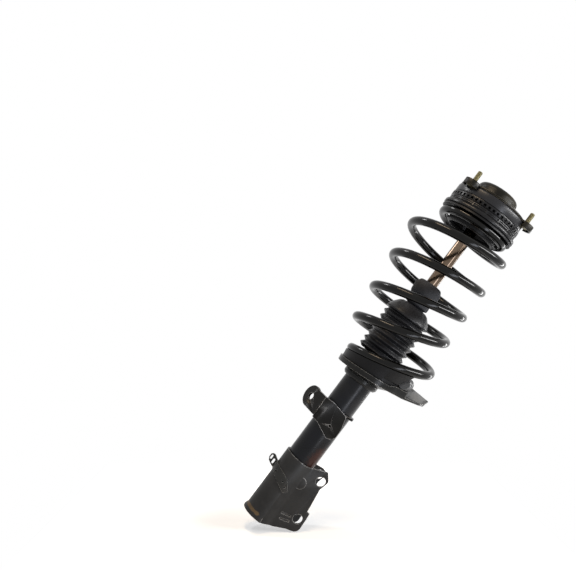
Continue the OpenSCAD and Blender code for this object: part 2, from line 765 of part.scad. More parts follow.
// ---------------------------------------------------------------- stabiliser bracket
link_ear_r = 19;
link_ear_len = 31;
link_bend_x = -27;
link_turn = 48;
link_rise = 17;
link_front_y = -(tube_r + link_sheet + 1.5);
link_foot_h = link_hole_h - 2 * link_ear_r;
link_top_h = link_hole_h + link_rise;
pilot_hole_r = 2.2;
module link_bracket() color([0.1, 0.1, 0.1])
    rotate([0, 0, link_yaw])
        difference() {
            union() {
                link_plate();
                link_flange();
                link_ear();
            }
            translate([0, 0, up(link_foot_h - 5)]) cylinder(r = tube_r, h = link_top_h - link_foot_h + 20);
            at_link_hole() cylinder(r = link_hole_r, h = 40, center = true);
            translate([5, link_front_y - 1, up(link_hole_h - link_rise)])
                rotate([-90, 0, 0]) cylinder(r = pilot_hole_r, h = link_sheet + 2, $fn = 24);
        }

// Plate across the front of the tube
module link_plate() {
    translate([0, link_front_y + link_sheet, -tower_drop])
        rotate([90, 0, 0])
            linear_extrude(link_sheet)
                polygon([
                    [link_bend_x, link_foot_h + 16], [-14, link_foot_h + 13], [12, link_foot_h + 1],
                    [20, link_foot_h + 4], [24, link_foot_h + 12], [24, link_foot_h + 25],
                    [19, link_top_h - 10], [17, link_top_h - 6], [-8, link_top_h], [link_bend_x, link_top_h]
                ]);
}

// Flange over the top, cut to the tube
module link_flange() {
    translate([0, 0, up(link_top_h - link_sheet - 5)])
        linear_extrude(link_sheet)
            polygon([
                [link_bend_x, link_front_y + 1], [18, link_front_y + 1], [30, -12], [30, 2],
                [tube_r - 4, 8], [-tube_r + 2, 14], link_corner(22), link_corner(0)
            ]);
}

// Ear for the link, turned back past the side of the tube
module link_ear() {
    translate([link_bend_x, link_front_y + link_sheet / 2, -tower_drop])
        rotate([0, 0, -link_turn])
            rotate([90, 0, 0])
                translate([0, 0, -link_sheet / 2])
                    linear_extrude(link_sheet) {
                        translate([-link_ear_len, link_hole_h - link_ear_r])
                            square([link_ear_len, link_rise + link_ear_r]);
                        translate([-link_ear_len, link_hole_h]) circle(r = link_ear_r);
                    }
}

// Points along the ear's inner face, in the top flange's plane
function link_corner(s) = [
    link_bend_x - s * cos(link_turn),
    link_front_y + link_sheet / 2 + s * sin(link_turn)
];

module at_link_hole() {
    translate([
        link_bend_x - link_ear_len * cos(link_turn),
        link_front_y + link_sheet / 2 + link_ear_len * sin(link_turn),
        up(link_hole_h)
    ])
        rotate([0, 0, -link_turn]) rotate([90, 0, 0]) children();
}

// ---------------------------------------------------------------- knuckle bracket
wrap_sheet = 3.3;
wrap_r = tube_r + wrap_sheet;
ear_in = ear_gap / 2;
ear_out = ear_in + bracket_sheet;
ear_edge = 11.5;
bracket_top_h = 119;
lip_h = 9;
lip_out = 2.4;

module ear_profile(corner_h) {
    ear_tip_x = lower_hole_x + 13;
    polygon(concat(
        [[-wrap_r - 5, 0], [4, 0], [24, 5], [ear_tip_x - 20, 14]],
        arc([ear_tip_x - 11, 28], 11, -75, 0, 6),
        [
            [ear_tip_x - 1, lower_hole_h + 10], [ear_tip_x - 2, lower_hole_h + 18],
            [ear_tip_x - 7, lower_hole_h + 18.5], [upper_hole_x + ear_edge - 5, upper_hole_h - 11]
        ],
        arc([upper_hole_x + ear_edge - 9, upper_hole_h + 5], 8, -20, 30, 3),
        [
            [upper_hole_x + 1.5, corner_h], [upper_hole_x - 1, corner_h],
            [18, bracket_top_h + 1.5], [8, bracket_top_h], [-wrap_r - 5, bracket_top_h + 2]
        ]
    ));
}

// Soft bend where the wrap round the tube runs into an ear
bend_r = 15;
module bend_fillet() {
    c = [sqrt(pow(wrap_r + bend_r, 2) - pow(ear_out + bend_r, 2)), ear_out + bend_r];
    start = c * wrap_r / (wrap_r + bend_r);
    polygon(concat(
        [[c[0], ear_out - 1], [start[0], start[1] - bracket_sheet]],
        arc(c, bend_r, atan2(start[1] - c[1], start[0] - c[0]), -90)
    ));
}

module knuckle_bracket() color([0.17, 0.17, 0.17])
    difference() {
        union() {
            intersection() {
                translate([0, 0, -tower_drop])
                    linear_extrude(200)
                        difference() {
                            union() {
                                circle(r = wrap_r);
                                translate([tube_r * 0.6, -ear_out]) square([60, 2 * ear_out]);
                                bend_fillet();
                                mirror([0, 1]) bend_fillet();
                            }
                            translate([0, -ear_in]) square([90, 2 * ear_in]);
                            circle(r = tube_r);
                        }
                // the ear on the link's side has the taller corner
                union() {
                    translate([0, 0, -tower_drop])
                        rotate([90, 0, 0]) linear_extrude(60) ear_profile(bracket_top_h + 11);
                    translate([0, 60, -tower_drop])
                        rotate([90, 0, 0]) linear_extrude(60) ear_profile(bracket_top_h + 4);
                }
            }
            // boss pressed out beside the hose bracket's foot
            difference() {
                translate([18, -ear_out + 1, up(90)]) rotate([90, 0, 0]) cylinder(r = 10, h = 2.6);
                translate([0, 0, -tower_drop]) cylinder(r = tube_r + 1, h = 200);
            }
            // turned-out lip round the foot
            intersection() {
                translate([0, 0, -tower_drop])
                    rotate_extrude()
                        polygon([
                            [wrap_r - 1, 0], [wrap_r + lip_out, 0], [wrap_r + lip_out, 2.5],
                            [wrap_r, lip_h], [wrap_r - 1, lip_h]
                        ]);
                translate([-wrap_r - 20, -60, -tower_drop]) cube([wrap_r + 22, 120, lip_h]);
            }
        }
        knuckle_bores();
        // pressed channels that stiffen the foot of each ear
        for (s = [-1, 1], i = [0, 1])
            translate([25 - 3 * i, s * (ear_out + 0.7), up(lower_hole_h - 16 + 9 * i)])
                rotate([0, 90 - 14, 0]) cylinder(r = 1.7, h = 17, $fn = 24);
    }

module knuckle_bores() {
    for (p = [[upper_hole_x, upper_hole_h], [lower_hole_x, lower_hole_h]])
        translate([p[0], 0, up(p[1])]) rotate([90, 0, 0])
            cylinder(r = knuckle_hole_r, h = 2 * ear_out + 20, center = true);
}

brace_foot_h = 10;
brace_top_h = 106;
module bracket_brace() color([0.15, 0.15, 0.15])
    translate([0, 0, up(brace_foot_h)])
        linear_extrude(brace_top_h - brace_foot_h)
            difference() {
                union() {
                    intersection() {
                        circle(r = tube_r + 3);
                        translate([12, -ear_in]) square([40, 2 * ear_in]);
                    }
                    translate([14, -ear_in]) square([20, 2 * ear_in]);
                }
                circle(r = tube_r);
                difference() {
                    translate([10, -ear_in + 3]) square([40, 2 * ear_in - 6]);
                    circle(r = tube_r + 3);
                }
            }

// ---------------------------------------------------------------- hose bracket
band_sheet = 2.2;
rivet_hole_r = 1.7;

// A slot with round ends, upright, round its centre
module upright_slot(w, h) {
    square([w, h - w], center = true);
    for (s = [-1, 1]) translate([0, s * (h - w) / 2]) circle(r = w / 2, $fn = 32);
}

module hose_bracket() color([0.22, 0.22, 0.21]) {
    band_r = wrap_r + band_sheet;
    low = hose_band_w / 2;
    rotate([0, 0, link_yaw]) translate([0, 0, up(hose_band_h)]) {
        // strip round the knuckle bracket's back, falling to a tab in front
        intersection() {
            ring(band_r, wrap_r, -40, 40);
            rotate([90, 0, 0])
                linear_extrude(band_r + 5)
                    difference() {
                        polygon([
                            [-band_r - 1, 13 + low], [-11, 9 + low], [4, 3 + low], [11, -2], [14, -5],
                            [13, -9], [9, -12], [6, -11], [-15, 6 - low], [-band_r - 1, 12 - low]
                        ]);
                        for (c = [[-2, 3], [6, -3], [-21, 8]])
                            translate(c) circle(r = rivet_hole_r, $fn = 32);
                    }
        }
        // loop that the brake hose's clip hooks into
        translate([0, -1, 0])
            rotate([90, 0, 0])
                linear_extrude(band_sheet)
                    difference() {
                        polygon([
                            [-wrap_r - 1, 5], [-wrap_r - 4, 5], [-wrap_r - 13, 10], [-wrap_r - 16, 15],
                            [-wrap_r - 16, 21], [-wrap_r - 13, 24], [-wrap_r - 9, 24], [-wrap_r - 1, 19]
                        ]);
                        translate([-wrap_r - 12.3, 17]) upright_slot(3, 8);
                        translate([-wrap_r - 6, 13]) upright_slot(3.6, 9);
                    }
    }
}

// ---------------------------------------------------------------- assembly
mount_plate();
tower_studs();
mount_retainer();
mount_rubber();
mount_core();
rebound_washer();
rod_nut();
bump_cup();
bearing_cover();
bearing_upper_race();
piston_rod();
piston();
piston_ring();
valve_discs();
piston_nut();
rebound_stop();
bearing_cage();
bearing_balls();
bearing_lower_race();
upper_spring_seat();
upper_spring_pad();
coil_spring();
bump_stop();
dust_boot();
strut_tube();
tube_base();
striker_cap();
rod_guide();
guide_bushing();
rod_seal();
pressure_tube();
foot_valve();
lower_spring_seat();
seat_collar();
lower_spring_pad();
link_bracket();
knuckle_bracket();
bracket_brace();
hose_bracket();
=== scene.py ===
"""Front suspension strut, with its finishes, its fine shapes and its setting.

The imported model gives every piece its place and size. This script gives the
pieces their finish, models the spring, the sleeve on the wire's end, the boot,
the bump stop and the studs in full, and sets up the camera, the floor and the
lights. Lengths of pieces are in millimetres and are turned into metres by MM.
The camera, the floor, the lights and the shaders are in metres.
"""
import math

import bmesh
import bpy
from mathutils import Matrix, Vector
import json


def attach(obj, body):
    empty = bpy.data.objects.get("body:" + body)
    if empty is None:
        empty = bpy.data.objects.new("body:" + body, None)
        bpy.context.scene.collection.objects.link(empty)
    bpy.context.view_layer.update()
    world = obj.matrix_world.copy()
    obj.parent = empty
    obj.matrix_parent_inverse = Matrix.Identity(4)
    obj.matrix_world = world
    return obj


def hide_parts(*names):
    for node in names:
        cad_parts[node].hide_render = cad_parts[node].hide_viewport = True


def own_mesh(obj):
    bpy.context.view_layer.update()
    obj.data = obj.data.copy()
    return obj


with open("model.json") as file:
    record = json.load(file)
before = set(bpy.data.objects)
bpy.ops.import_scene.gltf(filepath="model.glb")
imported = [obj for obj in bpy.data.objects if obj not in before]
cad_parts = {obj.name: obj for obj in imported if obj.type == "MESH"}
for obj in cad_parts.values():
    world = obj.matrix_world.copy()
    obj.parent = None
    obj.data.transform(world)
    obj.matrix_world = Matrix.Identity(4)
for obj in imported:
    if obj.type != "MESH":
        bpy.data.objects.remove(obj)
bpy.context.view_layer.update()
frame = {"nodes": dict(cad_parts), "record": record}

MM = 0.001
TOWER_DROP = 648.0
ROD_R = 10.0
RUN_GAP = 0.3


def up(height):
    """Height above the foot of the knuckle bracket, as a height in the model's frame."""
    return height - TOWER_DROP


# ------------------------------------------------------------------ camera
CAMERA_PLACE = Vector((-0.24464, -1.15095, -0.28313))
CAMERA_AIM = Vector((-0.18730, 0.00926, -0.31350))
CAMERA_ROLL = math.radians(36.568)
CAMERA_LENS = 43.712


def add_camera():
    camera = bpy.data.objects.new("camera", bpy.data.cameras.new("camera"))
    bpy.context.scene.collection.objects.link(camera)
    look = (CAMERA_AIM - CAMERA_PLACE).to_track_quat("-Z", "Y").to_matrix()
    turned = look @ Matrix.Rotation(CAMERA_ROLL, 3, "Z")
    camera.matrix_world = Matrix.Translation(CAMERA_PLACE) @ turned.to_4x4()
    camera.data.lens = CAMERA_LENS
    camera.data.sensor_width = 36
    camera.data.clip_end = 20
    bpy.context.scene.camera = camera
    return turned


camera_axes = add_camera()
PICTURE_UP = camera_axes @ Vector((0, 1, 0))
PICTURE_RIGHT = camera_axes @ Vector((1, 0, 0))
PICTURE_BACK = camera_axes @ Vector((0, 0, 1))


# ------------------------------------------------------------------ shader helpers
class Shader:
    """A node tree with short calls for adding and joining nodes."""

    def __init__(self, tree):
        self.tree = tree
        self.nodes = tree.nodes

    def add(self, kind, **settings):
        node = self.nodes.new(kind)
        for key, value in settings.items():
            setattr(node, key, value)
        return node

    def join(self, out, into):
        self.tree.links.new(out, into)

    def put(self, node, name, value):
        """Sets an input, or joins it where the value is another node's output."""
        socket = node.inputs[name]
        if isinstance(value, bpy.types.NodeSocket):
            self.join(value, socket)
        else:
            socket.default_value = value

    def math(self, operation, a, b=0.0, clamp=False):
        node = self.add("ShaderNodeMath", operation=operation, use_clamp=clamp)
        self.put(node, 0, a)
        self.put(node, 1, b)
        return node.outputs[0]

    def spread(self, value, low, high, to_low=0.0, to_high=1.0):
        """A smooth step that carries low to to_low and high to to_high."""
        node = self.add("ShaderNodeMapRange", interpolation_type="SMOOTHSTEP")
        settings = {"Value": value, "From Min": low, "From Max": high, "To Min": to_low, "To Max": to_high}
        for name, setting in settings.items():
            self.put(node, name, setting)
        return node.outputs[0]

    def blend(self, factor, a, b):
        node = self.add("ShaderNodeMix", data_type="RGBA")
        self.put(node, 0, factor)
        self.put(node, 6, a)
        self.put(node, 7, b)
        return node.outputs[2]

    def noise(self, scale, detail=3.0, rough=0.5, vector=None):
        node = self.add("ShaderNodeTexNoise")
        self.put(node, "Scale", scale)
        self.put(node, "Detail", detail)
        self.put(node, "Roughness", rough)
        self.put(node, "Vector", vector or self.place())
        return node.outputs["Fac"]

    def place(self):
        return self.add("ShaderNodeTexCoord").outputs["Object"]


def shader_group(name, inputs, outputs):
    """An empty shader node group with named inputs and outputs."""
    tree = bpy.data.node_groups.new(name, "ShaderNodeTree")
    for label, value in inputs:
        socket = tree.interface.new_socket(label, in_out="INPUT", socket_type="NodeSocketFloat")
        socket.default_value = value
    for label in outputs:
        tree.interface.new_socket(label, in_out="OUTPUT", socket_type="NodeSocketFloat")
    shader = Shader(tree)
    return tree, shader, shader.add("NodeGroupInput").outputs, shader.add("NodeGroupOutput")


def edge_wear_group():
    """Where a coating is thin: along sharp edges, broken up by fine noise."""
    tree, s, given, result = shader_group(
        "Edge wear", [("Width", 0.0006), ("Amount", 1.0), ("Breakup", 400.0)], ["Mask"])
    rounded = s.add("ShaderNodeBevel", samples=4)
    s.put(rounded, "Radius", given["Width"])
    dot = s.add("ShaderNodeVectorMath", operation="DOT_PRODUCT")
    s.put(dot, 0, rounded.outputs[0])
    s.put(dot, 1, s.add("ShaderNodeNewGeometry").outputs["Normal"])
    edge = s.spread(s.math("SUBTRACT", 1.0, dot.outputs["Value"]), 0.01, 0.12)
    patches = s.spread(s.noise(given["Breakup"], 4, 0.6), 0.28, 0.52)
    s.put(result, "Mask", s.math("MULTIPLY", s.math("MULTIPLY", edge, patches), given["Amount"], clamp=True))
    return tree


def coat_texture_group():
    """The slow waves and fine nap of sprayed paint, as a height and a roughness shift."""
    tree, s, given, result = shader_group(
        "Coat texture", [("Waves", 300.0), ("Nap", 2200.0), ("Nap share", 0.35)], ["Height", "Patches"])
    waves = s.noise(given["Waves"], 2, 0.5)
    nap = s.noise(given["Nap"], 2, 0.6)
    s.put(result, "Height", s.math("ADD", waves, s.math("MULTIPLY", nap, given["Nap share"])))
    s.put(result, "Patches", s.noise(35.0, 4, 0.65))
    return tree


def handling_group():
    """Smears and dust left by handling, stronger on faces that look up."""
    tree, s, given, result = shader_group(
        "Handling marks", [("Scale", 18.0), ("Amount", 0.3), ("Lie", 0.5)], ["Mask"])
    cloud = s.spread(s.noise(given["Scale"], 6, 0.7), 0.48, 0.72)
    split = s.add("ShaderNodeSeparateXYZ")
    s.put(split, 0, s.add("ShaderNodeNewGeometry").outputs["Normal"])
    lying = s.spread(split.outputs["Z"], -0.2, 1.0, 0.3, 1.0)
    lie = s.math("ADD", s.math("MULTIPLY", lying, given["Lie"]), s.math("SUBTRACT", 1.0, given["Lie"]))
    s.put(result, "Mask", s.math("MULTIPLY", s.math("MULTIPLY", cloud, lie), given["Amount"], clamp=True))
    return tree


def tint_and_highlight_patch_group():
    """A cloudy patch of colour round a point: the heat colour beside a weld, and a painted highlight on the
    lower seat's tongue.
    """
    tree, s, given, result = shader_group(
        "Tint and painted highlight patch", [("X", 0.0), ("Y", 0.0), ("Z", 0.0), ("Radius", 0.02), ("Squash", 1.0)], ["Mask"])
    split = s.add("ShaderNodeSeparateXYZ")
    s.put(split, 0, s.place())
    away = s.add("ShaderNodeCombineXYZ")
    for i, axis in enumerate("XYZ"):
        gap = s.math("SUBTRACT", split.outputs[axis], given[axis])
        s.put(away, i, s.math("MULTIPLY", gap, given["Squash"]) if axis == "Z" else gap)
    reach = s.add("ShaderNodeVectorMath", operation="LENGTH")
    s.put(reach, 0, away.outputs[0])
    ragged = s.math("ADD", s.math("DIVIDE", reach.outputs["Value"], given["Radius"]),
                    s.math("MULTIPLY", s.math("SUBTRACT", s.noise(160.0, 4, 0.6), 0.5), 1.1))
    s.put(result, "Mask", s.spread(ragged, 0.45, 1.0, 1.0, 0.0))
    return tree


EDGE_WEAR = edge_wear_group()
COAT_TEXTURE = coat_texture_group()
HANDLING = handling_group()
TINT_AND_HIGHLIGHT_PATCH = tint_and_highlight_patch_group()


def use_group(shader, group, **values):
    node = shader.add("ShaderNodeGroup", node_tree=group)
    for name, value in values.items():
        node.inputs[name.replace("_", " ")].default_value = value
    return node.outputs


def new_material(name):
    material = bpy.data.materials.new(name)
    material.use_nodes = True
    shader = Shader(material.node_tree)
    return material, shader, shader.nodes["Principled BSDF"]


def add_bump(shader, surface, height, strength, distance):
    bump = shader.add("ShaderNodeBump")
    shader.put(bump, "Strength", strength)
    shader.put(bump, "Distance", distance)
    shader.put(bump, "Height", height)
    shader.put(surface, "Normal", bump.outputs[0])


def rgb(*values):
    return (*values, 1.0)


def painted(name, paint, bare, rough, specular=0.5, wear=0.5, marks=0.15, dust=rgb(0.12, 0.11, 0.1),
            waves=300.0, bump=0.15, wear_width=0.0006, metal_wear=True, patches=()):
    """A coated steel part: paint, thin edges, handling marks, and colour patches of tint and of painted
    highlight.

    Each patch is (place, radius, squash, colour), with place and radius in millimetres.
    """
    material, s, surface = new_material(name)
    texture = use_group(s, COAT_TEXTURE, Waves=waves, Nap=waves * 7, Nap_share=0.3)
    edges = use_group(s, EDGE_WEAR, Width=wear_width, Amount=wear, Breakup=110.0)["Mask"]
    smears = use_group(s, HANDLING, Scale=22.0, Amount=marks, Lie=0.4)["Mask"]
    tone = s.spread(texture["Patches"], 0.3, 0.7, 0.75, 1.25)
    tinted = s.add("ShaderNodeMix", data_type="RGBA", blend_type="MULTIPLY")
    s.put(tinted, 0, 1.0)
    s.put(tinted, 6, paint)
    grey = s.add("ShaderNodeCombineColor")
    for i in range(3):
        s.put(grey, i, tone)
    s.put(tinted, 7, grey.outputs[0])
    colour = s.blend(smears, tinted.outputs[2], dust)
    # Each patch blends in its colour: weld tint, and on the lower seat a painted highlight.
    for (x, y, z), radius, squash, tint in patches:
        spot = use_group(s, TINT_AND_HIGHLIGHT_PATCH, X=x * MM, Y=y * MM, Z=z * MM, Radius=radius * MM, Squash=squash)
        colour = s.blend(spot["Mask"], colour, tint)
    s.put(surface, "Base Color", s.blend(edges, colour, bare))
    patchy = s.spread(texture["Patches"], 0.25, 0.75, rough * 0.8, rough * 1.25)
    s.put(surface, "Roughness", s.math("ADD", patchy, s.math("MULTIPLY", smears, 0.35), clamp=True))
    if metal_wear:
        s.put(surface, "Metallic", s.math("MULTIPLY", edges, 0.6))
    s.put(surface, "Specular IOR Level", specular)
    add_bump(s, surface, texture["Height"], bump, 0.0002)
    return material


def metal(name, colour, rough, streaked=False, spots=None, bump=0.05, tint=None):
    """Bare or plated metal with turned or ground streaks and slight tarnish. On the piston rod, the tan
    colour and tint are a painted reflection.
    """
    material, s, surface = new_material(name)
    stretch = s.add("ShaderNodeMapping")
    s.put(stretch, "Vector", s.place())
    s.put(stretch, "Scale", (1.0, 1.0, 6.0 if streaked else 1.0))
    fine = s.noise(900.0, 3, 0.6, stretch.outputs[0])
    cloud = s.noise(60.0, 5, 0.6)
    mixed = s.blend(s.spread(cloud, 0.4, 0.7), colour, tint or colour)
    flecks = s.spread(fine, 0.55, 0.8, 0.0, 0.35)
    s.put(surface, "Base Color", s.blend(flecks, mixed, spots or tint or colour))
    s.put(surface, "Metallic", 1.0)
    s.put(surface, "Roughness", s.spread(fine, 0.3, 0.7, rough * 0.8, rough * 1.3))
    add_bump(s, surface, fine, bump, 0.0001)
    return material


def rubber(name, colour, pale, rough=0.6, specular=0.35, grain=1400.0, bump=0.3, bloom=0.25):
    """Moulded rubber or plastic with a fine grain and a dull bloom."""
    material, s, surface = new_material(name)
    fine = s.noise(grain, 4, 0.6)
    bloomed = use_group(s, HANDLING, Scale=35.0, Amount=bloom, Lie=0.2)["Mask"]
    s.put(surface, "Base Color", s.blend(bloomed, s.blend(s.spread(fine, 0.3, 0.7), colour, pale), pale))
    s.put(surface, "Roughness", s.spread(fine, 0.3, 0.7, rough * 0.85, min(1.0, rough * 1.2)))
    s.put(surface, "Specular IOR Level", specular)
    add_bump(s, surface, fine, bump, 0.0002)
    return material


def foam(name, colour, pale):
    """Microcellular foam: soft, matt, with open pores on its skin, darkened in colour as painted shade."""
    material, s, surface = new_material(name)
    cells = s.add("ShaderNodeTexVoronoi", feature="F1")
    s.put(cells, "Scale", 900.0)
    s.put(cells, "Vector", s.place())
    pores = s.spread(cells.outputs["Distance"], 0.1, 0.5)
    cloud = s.noise(70.0, 5, 0.6)
    base = s.blend(s.spread(cloud, 0.35, 0.7), colour, pale)
    # The pores are blended towards near black: painted shade inside them.
    s.put(surface, "Base Color", s.blend(s.spread(pores, 0.0, 0.5, 0.5, 0.0), base, rgb(0.012, 0.012, 0.013)))
    s.put(surface, "Roughness", s.spread(cloud, 0.3, 0.7, 0.7, 0.85))
    s.put(surface, "Specular IOR Level", 0.25)
    add_bump(s, surface, pores, 0.3, 0.0004)
    return material


FINISH = {
    "spring_paint": painted("spring enamel", rgb(0.0015, 0.0014, 0.0012), rgb(0.02, 0.02, 0.02), 0.15,
                            specular=0.2, wear=0.2, marks=0.03, waves=50, bump=0.004, metal_wear=False),
    "tube_paint": painted("tube enamel", rgb(0.0018, 0.0022, 0.0038), rgb(0.05, 0.05, 0.06), 0.28,
                          specular=0.2, wear=0.3, marks=0.04, waves=100, bump=0.02,
                          patches=(((20, -16, up(135)), 22, 0.7, rgb(0.030, 0.010, 0.007)),)),
    "bracket_paint": painted("bracket coat", rgb(0.018, 0.018, 0.018), rgb(0.32, 0.31, 0.30), 0.42,
                             specular=0.2, wear=1.0, marks=0.15, dust=rgb(0.05, 0.045, 0.04), waves=300,
                             bump=0.08, wear_width=0.0016,
                             patches=[((30 * math.cos(a), 30 * math.sin(a), up(9)), 7.5, 2.0,
                                       rgb(0.11, 0.075, 0.04))
                                      for a in (math.radians(turn) for turn in range(150, 250, 12))]),
    # The pale patch on the lower seat's tongue is a painted highlight, where the flange faces up towards the
    # lights.
    "seat_paint": painted("seat coat", rgb(0.006, 0.006, 0.0057), rgb(0.26, 0.25, 0.23), 0.26,
                          specular=0.18, wear=1.0, marks=0.1, dust=rgb(0.04, 0.038, 0.035), waves=200,
                          bump=0.05, wear_width=0.0014,
                          patches=(((100, 14, -333), 26, 1.0, rgb(0.27, 0.27, 0.265)),)),
    "mount_steel": painted("mount plate coat", rgb(0.006, 0.0055, 0.0035), rgb(0.22, 0.18, 0.11), 0.34,
                           specular=0.14, wear=0.9, marks=0.5, dust=rgb(0.055, 0.045, 0.022), waves=260,
                           bump=0.25),
    "link_paint": painted("link bracket coat", rgb(0.0045, 0.0042, 0.0038), rgb(0.32, 0.31, 0.30), 0.30,
                          specular=0.14, wear=1.0, marks=0.12, dust=rgb(0.03, 0.027, 0.023), waves=300,
                          bump=0.06, wear_width=0.0016),
    "hose_bracket_steel": painted("hose bracket coat", rgb(0.014, 0.014, 0.013), rgb(0.36, 0.35, 0.33), 0.36,
                                  specular=0.25, wear=1.0, marks=0.2, waves=400, bump=0.2),
    "cover_plastic": rubber("cover nylon", rgb(0.005, 0.005, 0.006), rgb(0.009, 0.009, 0.011),
                            rough=0.30, specular=0.3, grain=1800, bump=0.06, bloom=0.12),
    "seat_plastic": rubber("seat nylon", rgb(0.005, 0.005, 0.0055), rgb(0.010, 0.010, 0.011),
                           rough=0.28, specular=0.18, grain=1800, bump=0.06, bloom=0.15),
    "black_rubber": rubber("insulator rubber", rgb(0.003, 0.003, 0.003), rgb(0.008, 0.008, 0.009),
                           rough=0.38, specular=0.14),
    "boot_rubber": rubber("boot rubber", rgb(0.007, 0.007, 0.008), rgb(0.020, 0.020, 0.022),
                          rough=0.34, specular=0.22, grain=900, bump=0.12),
    "sleeve_rubber": rubber("sleeve rubber", rgb(0.05, 0.05, 0.05), rgb(0.12, 0.12, 0.12),
                            rough=0.24, specular=0.4),
    "foam_grey": foam("bump stop foam", rgb(0.020, 0.021, 0.024), rgb(0.036, 0.037, 0.041)),
    "zinc_steel": metal("yellow zinc plate", rgb(0.19, 0.17, 0.09), 0.44, tint=rgb(0.24, 0.22, 0.14),
                        spots=rgb(0.13, 0.11, 0.06), bump=0.01),
    # The rod's tan colour and darker tan tint are a painted reflection of brown surroundings in the chrome.
    "rod_chrome": metal("hard chrome with painted reflection", rgb(0.15, 0.11, 0.08), 0.14, streaked=True,
                        tint=rgb(0.12, 0.085, 0.06), bump=0.004),
    "inner_steel": metal("turned steel", rgb(0.45, 0.45, 0.44), 0.3, tint=rgb(0.40, 0.38, 0.34)),
    "bearing_steel": metal("bearing steel", rgb(0.66, 0.66, 0.67), 0.12, bump=0.02),
    "sintered_iron": metal("sintered iron", rgb(0.36, 0.35, 0.33), 0.5, tint=rgb(0.30, 0.29, 0.27), bump=0.3),
    "bushing_bronze": metal("bushing bronze", rgb(0.60, 0.42, 0.22), 0.35, tint=rgb(0.52, 0.38, 0.22)),
    "piston_band": rubber("piston band", rgb(0.10, 0.19, 0.15), rgb(0.13, 0.22, 0.18), rough=0.5),
    "cage_nylon": rubber("cage nylon", rgb(0.62, 0.58, 0.48), rgb(0.70, 0.66, 0.56), rough=0.45, bloom=0.1),
}


# ------------------------------------------------------------------ mesh helpers
SHARP_ANGLE = 32

BODY_OF = {node: body for body, nodes in frame["record"]["behaviour"]["bodies"].items() for node in nodes}


def add_object(name, mesh):
    obj = bpy.data.objects.new(name, mesh)
    bpy.context.scene.collection.objects.link(obj)
    return obj


def from_bmesh(name, bm):
    mesh = bpy.data.meshes.new(name)
    bm.to_mesh(mesh)
    bm.free()
    return add_object(name, mesh)


def smooth_by_angle(mesh, degrees):
    mesh.shade_smooth()
    mesh.set_sharp_from_angle(angle=math.radians(degrees))


def bake_modifiers(obj):
    """The evaluated shape becomes the object's own mesh."""
    evaluated = obj.evaluated_get(bpy.context.evaluated_depsgraph_get())
    mesh = bpy.data.meshes.new_from_object(evaluated)
    obj.modifiers.clear()
    obj.data = mesh
    mesh.name = obj.name


def put_on(obj, body, slot, *nodes, material=None):
    """Gives a finished piece its material, from its slot unless one is given, puts it on its body and hides
    the nodes it stands for.
    """
    obj.data.materials.clear()
    obj.data.materials.append(material or FINISH[slot])
    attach(obj, body)
    if nodes:
        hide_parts(*nodes)
    return obj


def bevel(obj, width, segments=2, angle=SHARP_ANGLE):
    """Rounds the edges that are sharper than an angle in degrees."""
    edge = obj.modifiers.new("edge", "BEVEL")
    edge.width = width * MM
    edge.segments = segments
    edge.limit_method = "ANGLE"
    edge.angle_limit = math.radians(angle)
    edge.use_clamp_overlap = True
    bake_modifiers(obj)


def merged_copy(node, name):
    """The node's solid as one clean mesh: doubles merged and flat faces joined."""
    bm = bmesh.new()
    bm.from_mesh(frame["nodes"][node].data)
    bmesh.ops.remove_doubles(bm, verts=bm.verts, dist=0.002 * MM)
    bmesh.ops.dissolve_limit(bm, angle_limit=math.radians(0.6), use_dissolve_boundaries=False,
                             verts=bm.verts, edges=bm.edges)
    return from_bmesh(name, bm)


def finish_node(node, slot, edge, finish=None):
    """A CAD node with its edges broken, in its own finish."""
    obj = merged_copy(node, node + "_finished")
    if edge:
        bevel(obj, edge)
    smooth_by_angle(obj.data, SHARP_ANGLE)
    return put_on(obj, BODY_OF[node], slot, node, material=FINISH[finish or slot])


def lathe(name, outline, steps=128):
    """A closed outline of (radius, height) points in millimetres, turned round the Z axis."""
    bm = bmesh.new()
    rings = []
    for i in range(steps):
        a = 2 * math.pi * i / steps
        rings.append([bm.verts.new((r * MM * math.cos(a), r * MM * math.sin(a), z * MM))
                      for r, z in outline])
    n = len(outline)
    for i in range(steps):
        here, there = rings[i], rings[(i + 1) % steps]
        for k in range(n):
            m = (k + 1) % n
            bm.faces.new((here[k], there[k], there[m], here[m]))
    bmesh.ops.remove_doubles(bm, verts=bm.verts, dist=0.001 * MM)
    bmesh.ops.recalc_face_normals(bm, faces=bm.faces)
    return from_bmesh(name, bm)


def rounded(points, steps=5):
    """An outline with each corner (radius, height, corner radius) turned into an arc."""
    result = []
    count = len(points)
    for i, (x, z, r) in enumerate(points):
        here = Vector((x, z))
        if r <= 0:
            result.append((x, z))
            continue
        before = Vector(points[i - 1][:2]) - here
        after = Vector(points[(i + 1) % count][:2]) - here
        half = before.angle(after) / 2
        reach = min(r / max(math.tan(half), 1e-6), before.length * 0.49, after.length * 0.49)
        a = here + before.normalized() * reach
        b = here + after.normalized() * reach
        for k in range(steps + 1):
            t = k / steps
            result.append(tuple(a * (1 - t) ** 2 + here * 2 * t * (1 - t) + b * t ** 2))
    return result


# ------------------------------------------------------------------ geometry trees
def geometry_tree(name, inputs):
    """A geometry node tree with named inputs, and the sockets it starts and ends with."""
    tree = bpy.data.node_groups.new(name, "GeometryNodeTree")
    tree.interface.new_socket("Geometry", in_out="INPUT", socket_type="NodeSocketGeometry")
    for label, kind in inputs:
        tree.interface.new_socket(label, in_out="INPUT", socket_type="NodeSocket" + kind)
    tree.interface.new_socket("Geometry", in_out="OUTPUT", socket_type="NodeSocketGeometry")
    given = tree.nodes.new("NodeGroupInput").outputs
    result = tree.nodes.new("NodeGroupOutput").inputs
    return tree, given, result


